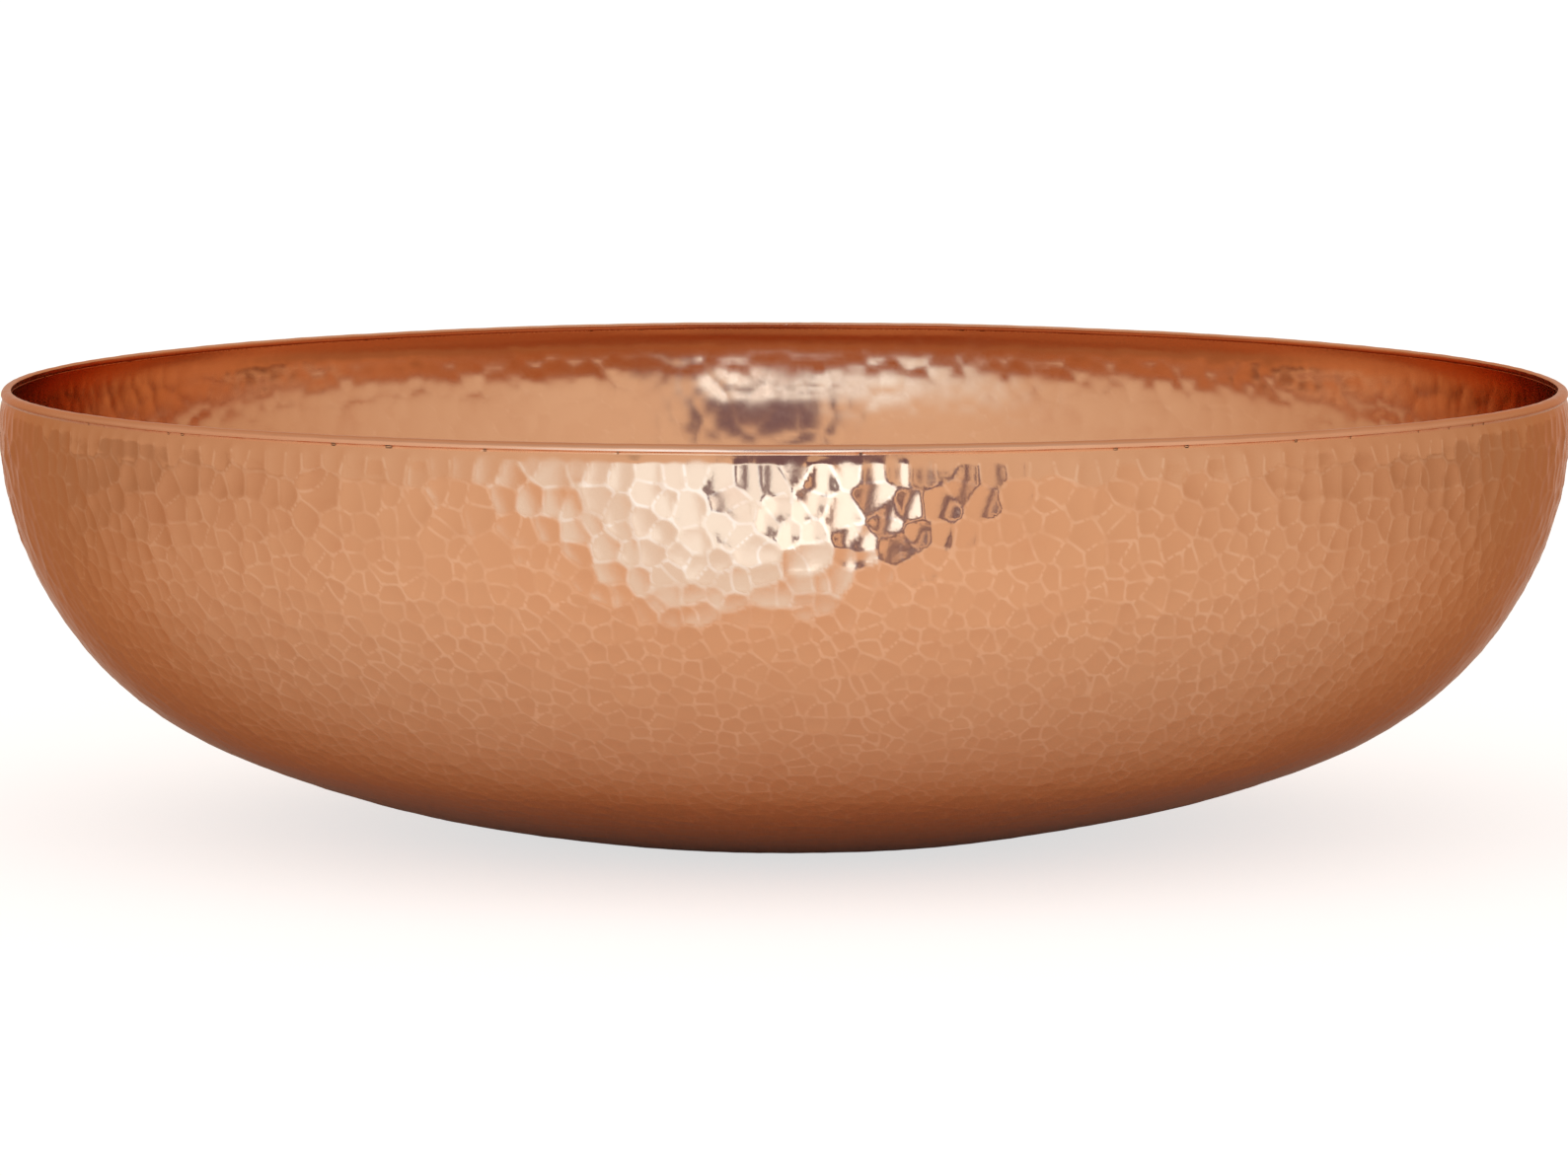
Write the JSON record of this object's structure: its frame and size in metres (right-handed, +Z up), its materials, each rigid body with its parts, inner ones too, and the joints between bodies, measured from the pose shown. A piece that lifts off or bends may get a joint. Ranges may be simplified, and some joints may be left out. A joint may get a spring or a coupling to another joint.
{
  "type": "hammered copper bowl",
  "caption": "Wide shallow round bowl raised from copper sheet, hammered all over, with a small resting flat and a round-topped hoop brazed on its rim.",
  "frame": {"origin": "centre of the flat that the bowl rests on, at the bottom of its bounding box", "axes": "+Z up along the bowl's axis, towards the mouth; X and Y lie in the plane of the rim, and the hoop's scarf joint faces +Y"},
  "size_m": [0.3999, 0.4, 0.115],
  "materials": {
    "hammered_copper": "polished copper, hammered facets, a little warm tarnish",
    "rim_copper": "polished copper, filed and rubbed smooth by hand",
    "braze": "dull copper-phosphorus braze with small dark pinholes"
  },
  "bodies": {
    "root": {"bowl_shell": "hammered_copper", "rim_hoop": "rim_copper", "seam_braze": "braze", "scarf_braze": "braze"}
  },
  "joints": []
}
